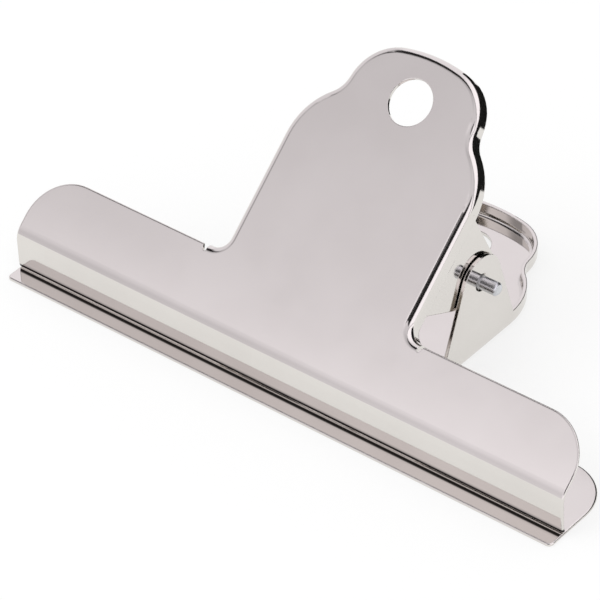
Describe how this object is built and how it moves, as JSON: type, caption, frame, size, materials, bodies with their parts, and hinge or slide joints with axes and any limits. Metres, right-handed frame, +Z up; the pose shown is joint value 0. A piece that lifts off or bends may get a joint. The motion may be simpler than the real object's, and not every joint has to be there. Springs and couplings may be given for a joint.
{
  "type": "bulldog clip",
  "caption": "Wide nickel-plated bulldog clip: two stamped steel plates pivot on a pin, and a coil spring closes the jaw.",
  "frame": {"origin": "centre of the footprint, on the outer face of the back plate that the clip lies on", "axes": "+X along the jaw, +Y from the jaw to the handles, +Z up from the surface it lies on"},
  "size_m": [0.145, 0.0784, 0.0551],
  "materials": {
    "nickel_back": "bright nickel plate on pressed steel",
    "nickel_front": "bright nickel plate on pressed steel",
    "zinc": "bluish zinc plate on drawn steel",
    "spring_steel": "bright drawn spring wire"
  },
  "bodies": {
    "back": {"back_plate": "nickel_back", "pivot_pin": "zinc", "torsion_spring": "spring_steel"},
    "front": {"front_plate": "nickel_front"}
  },
  "joints": [
    {"name": "jaw_open", "type": "hinge", "parent": "back", "child": "front", "pos_m": [0, 0.0022, 0.0181], "axis": [-1, 0, 0], "range_deg": [0, 75], "stiffness_Nm_per_rad": 1.2, "springref_deg": -85.94, "deforming": ["torsion_spring"]}
  ]
}
